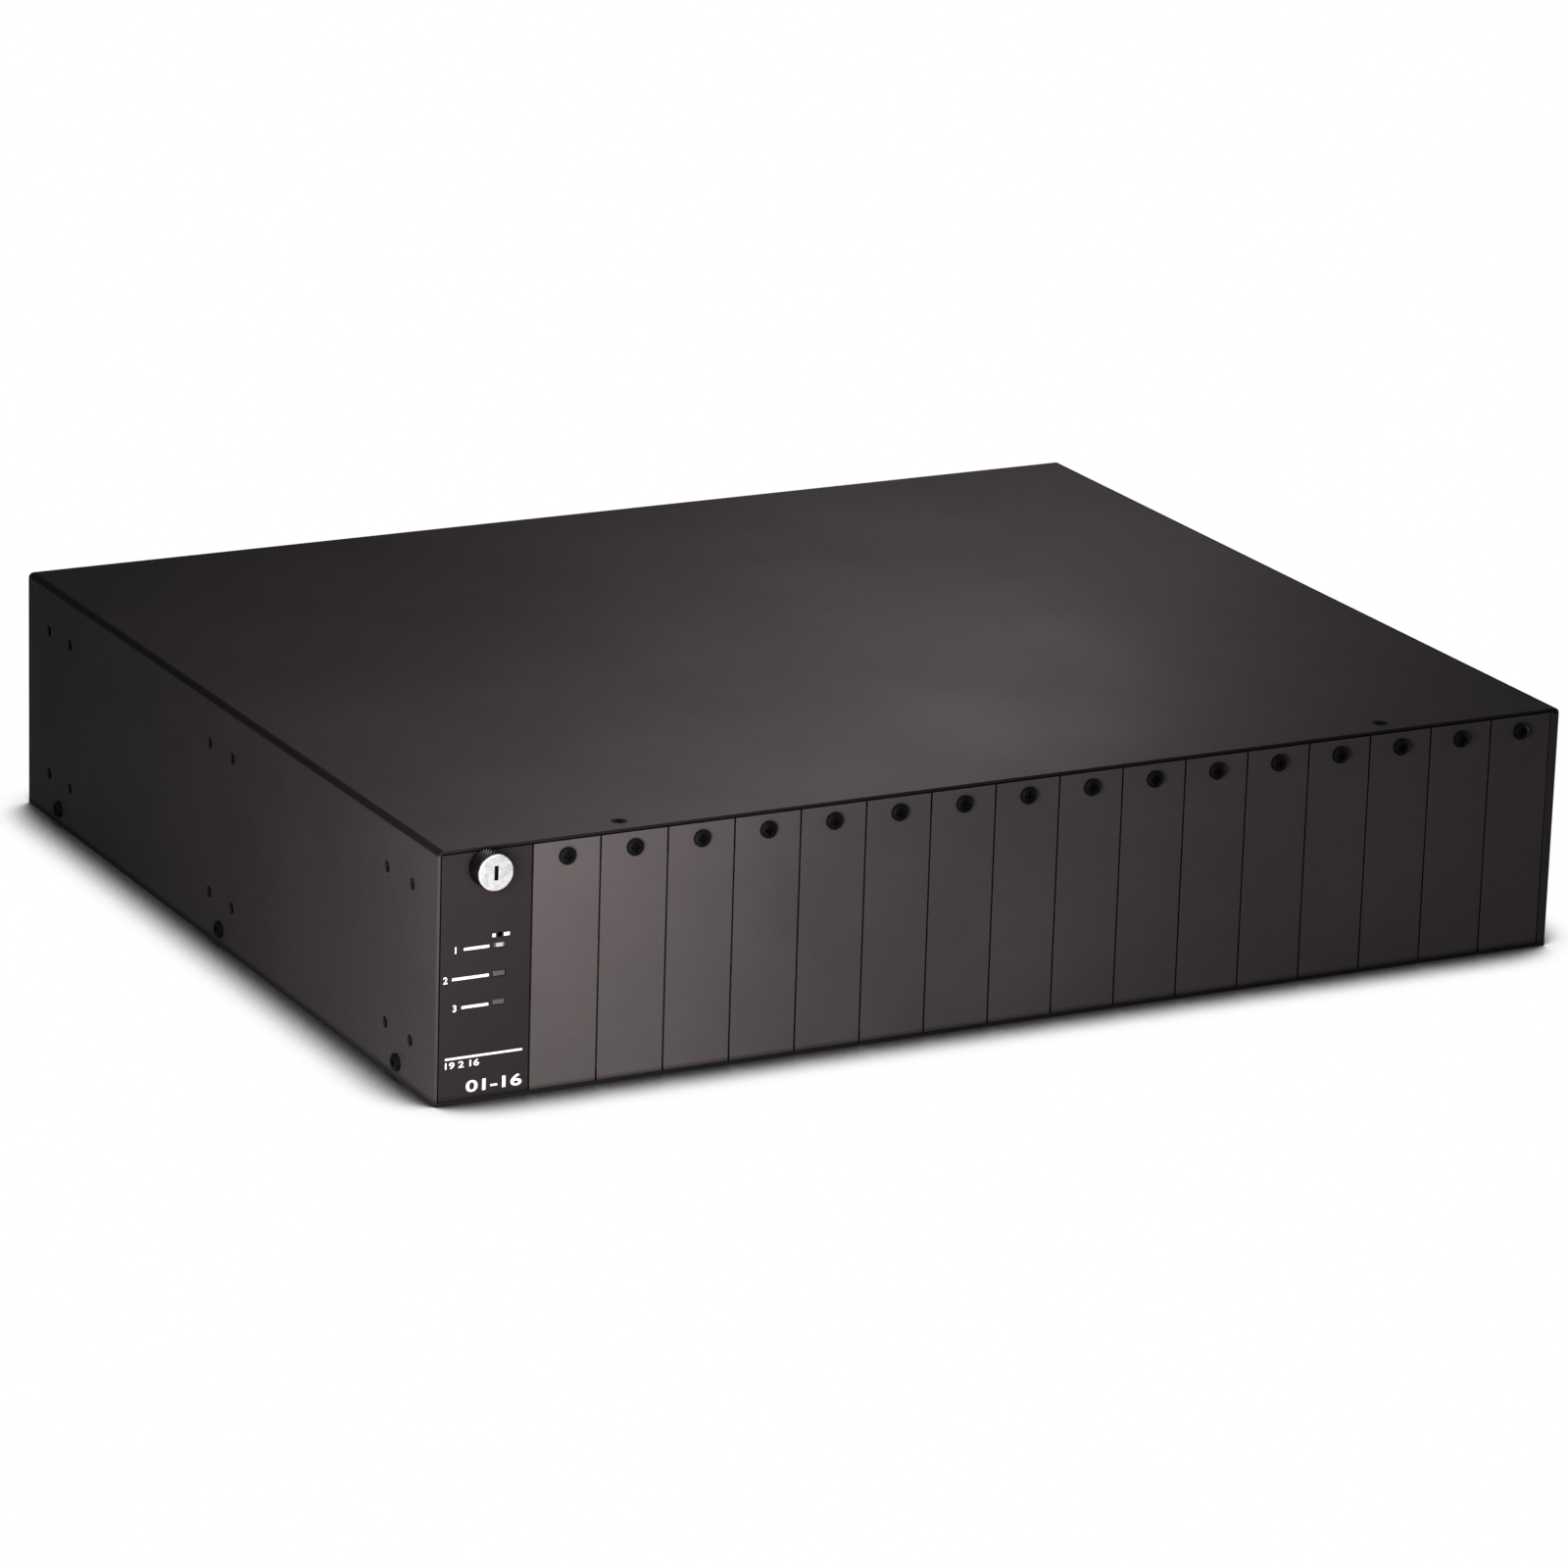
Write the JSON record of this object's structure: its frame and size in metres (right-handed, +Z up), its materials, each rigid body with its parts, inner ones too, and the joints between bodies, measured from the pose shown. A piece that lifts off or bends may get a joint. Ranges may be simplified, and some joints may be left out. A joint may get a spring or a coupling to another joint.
{
  "type": "media converter chassis",
  "caption": "Two-unit rack chassis for media converter cards, with narrow bays behind screwed blank covers, a control plate, rear fans and a pull-out power module.",
  "frame": {"origin": "middle of the chassis' base face, on the surface it stands on", "axes": "+X to the right of the front, +Y from the front to the rear, +Z up"},
  "size_m": [0.4412, 0.4, 0.0889],
  "materials": {
    "case_paint": "matte fine-textured dark grey powder coat",
    "plate_paint": "matte dark grey paint",
    "black_screw": "black oxide",
    "bright_steel": "nickel plated",
    "circuit_board": "green solder mask",
    "black_plastic": "moulded black plastic",
    "guide_nylon": "natural nylon",
    "light_lens": "unlit frosted lens"
  },
  "bodies": {
    "chassis": {"base_tray": "case_paint", "top_cover": "case_paint", "rear_panel": "case_paint", "case_screws": "black_screw", "front_rail": "case_paint", "card_guides": "guide_nylon", "backplane_board": "circuit_board", "backplane_bracket": "bright_steel", "dc_plugs": "black_plastic", "power_sockets": "black_plastic", "fan_frames": "black_plastic", "fan_screws": "bright_steel"},
    "control_module": {"control_plate": "plate_paint", "control_board": "circuit_board", "status_lights": "light_lens"},
    "control_knob": {"control_thumbscrew": "bright_steel"},
    "reset": {"reset_button": "black_plastic"},
    "left_fan": {"fan_rotor_left": "black_plastic"},
    "right_fan": {"fan_rotor_right": "black_plastic"},
    "power_module": {"power_case": "case_paint", "power_board": "circuit_board", "power_inlet": "black_plastic", "power_handle": "bright_steel", "power_screws": "bright_steel", "power_plug": "black_plastic"},
    "rocker": {"power_switch": "black_plastic"},
    "spare_bay_cover": {"blank_bay_plate": "case_paint", "blank_bay_screws": "bright_steel"},
    "cover_01": {"slot_cover_01": "plate_paint", "slot_cover_screw_01": "black_screw"},
    "cover_02": {"slot_cover_02": "plate_paint", "slot_cover_screw_02": "black_screw"},
    "cover_03": {"slot_cover_03": "plate_paint", "slot_cover_screw_03": "black_screw"},
    "cover_04": {"slot_cover_04": "plate_paint", "slot_cover_screw_04": "black_screw"},
    "cover_05": {"slot_cover_05": "plate_paint", "slot_cover_screw_05": "black_screw"},
    "cover_06": {"slot_cover_06": "plate_paint", "slot_cover_screw_06": "black_screw"},
    "cover_07": {"slot_cover_07": "plate_paint", "slot_cover_screw_07": "black_screw"},
    "cover_08": {"slot_cover_08": "plate_paint", "slot_cover_screw_08": "black_screw"},
    "cover_09": {"slot_cover_09": "plate_paint", "slot_cover_screw_09": "black_screw"},
    "cover_10": {"slot_cover_10": "plate_paint", "slot_cover_screw_10": "black_screw"},
    "cover_11": {"slot_cover_11": "plate_paint", "slot_cover_screw_11": "black_screw"},
    "cover_12": {"slot_cover_12": "plate_paint", "slot_cover_screw_12": "black_screw"},
    "cover_13": {"slot_cover_13": "plate_paint", "slot_cover_screw_13": "black_screw"},
    "cover_14": {"slot_cover_14": "plate_paint", "slot_cover_screw_14": "black_screw"},
    "cover_15": {"slot_cover_15": "plate_paint", "slot_cover_screw_15": "black_screw"},
    "cover_16": {"slot_cover_16": "plate_paint", "slot_cover_screw_16": "black_screw"}
  },
  "joints": [
    {"name": "control_module_pull", "type": "slide", "parent": "chassis", "child": "control_module", "axis": [0, -1, 0], "range_m": [0, 0.115]},
    {"name": "control_knob_turn", "type": "hinge", "parent": "control_module", "child": "control_knob", "pos_m": [-0.2015, -0.18, 0.082], "axis": [0, -1, 0], "continuous": true},
    {"name": "reset_press", "type": "slide", "parent": "control_module", "child": "reset", "axis": [0, 1, 0], "range_m": [0, 0.0005], "stiffness_N_per_m": 600},
    {"name": "left_fan_spin", "type": "hinge", "parent": "chassis", "child": "left_fan", "pos_m": [-0.04925, 0.1665, 0.04445], "axis": [0, 1, 0], "continuous": true},
    {"name": "right_fan_spin", "type": "hinge", "parent": "chassis", "child": "right_fan", "pos_m": [0.04925, 0.1665, 0.04445], "axis": [0, 1, 0], "continuous": true},
    {"name": "power_module_pull", "type": "slide", "parent": "chassis", "child": "power_module", "axis": [0, 1, 0], "range_m": [0, 0.22]},
    {"name": "power_rocker", "type": "hinge", "parent": "power_module", "child": "rocker", "pos_m": [0.148, 0.1789, 0.026], "axis": [1, 0, 0], "range_deg": [0, 14]},
    {"name": "spare_bay_cover_pull", "type": "slide", "parent": "chassis", "child": "spare_bay_cover", "axis": [0, 1, 0], "range_m": [0, 0.06]},
    {"name": "cover_01_pull", "type": "slide", "parent": "chassis", "child": "cover_01", "axis": [0, -1, 0], "range_m": [0, 0.06]},
    {"name": "cover_02_pull", "type": "slide", "parent": "chassis", "child": "cover_02", "axis": [0, -1, 0], "range_m": [0, 0.06]},
    {"name": "cover_03_pull", "type": "slide", "parent": "chassis", "child": "cover_03", "axis": [0, -1, 0], "range_m": [0, 0.06]},
    {"name": "cover_04_pull", "type": "slide", "parent": "chassis", "child": "cover_04", "axis": [0, -1, 0], "range_m": [0, 0.06]},
    {"name": "cover_05_pull", "type": "slide", "parent": "chassis", "child": "cover_05", "axis": [0, -1, 0], "range_m": [0, 0.06]},
    {"name": "cover_06_pull", "type": "slide", "parent": "chassis", "child": "cover_06", "axis": [0, -1, 0], "range_m": [0, 0.06]},
    {"name": "cover_07_pull", "type": "slide", "parent": "chassis", "child": "cover_07", "axis": [0, -1, 0], "range_m": [0, 0.06]},
    {"name": "cover_08_pull", "type": "slide", "parent": "chassis", "child": "cover_08", "axis": [0, -1, 0], "range_m": [0, 0.06]},
    {"name": "cover_09_pull", "type": "slide", "parent": "chassis", "child": "cover_09", "axis": [0, -1, 0], "range_m": [0, 0.06]},
    {"name": "cover_10_pull", "type": "slide", "parent": "chassis", "child": "cover_10", "axis": [0, -1, 0], "range_m": [0, 0.06]},
    {"name": "cover_11_pull", "type": "slide", "parent": "chassis", "child": "cover_11", "axis": [0, -1, 0], "range_m": [0, 0.06]},
    {"name": "cover_12_pull", "type": "slide", "parent": "chassis", "child": "cover_12", "axis": [0, -1, 0], "range_m": [0, 0.06]},
    {"name": "cover_13_pull", "type": "slide", "parent": "chassis", "child": "cover_13", "axis": [0, -1, 0], "range_m": [0, 0.06]},
    {"name": "cover_14_pull", "type": "slide", "parent": "chassis", "child": "cover_14", "axis": [0, -1, 0], "range_m": [0, 0.06]},
    {"name": "cover_15_pull", "type": "slide", "parent": "chassis", "child": "cover_15", "axis": [0, -1, 0], "range_m": [0, 0.06]},
    {"name": "cover_16_pull", "type": "slide", "parent": "chassis", "child": "cover_16", "axis": [0, -1, 0], "range_m": [0, 0.06]}
  ]
}
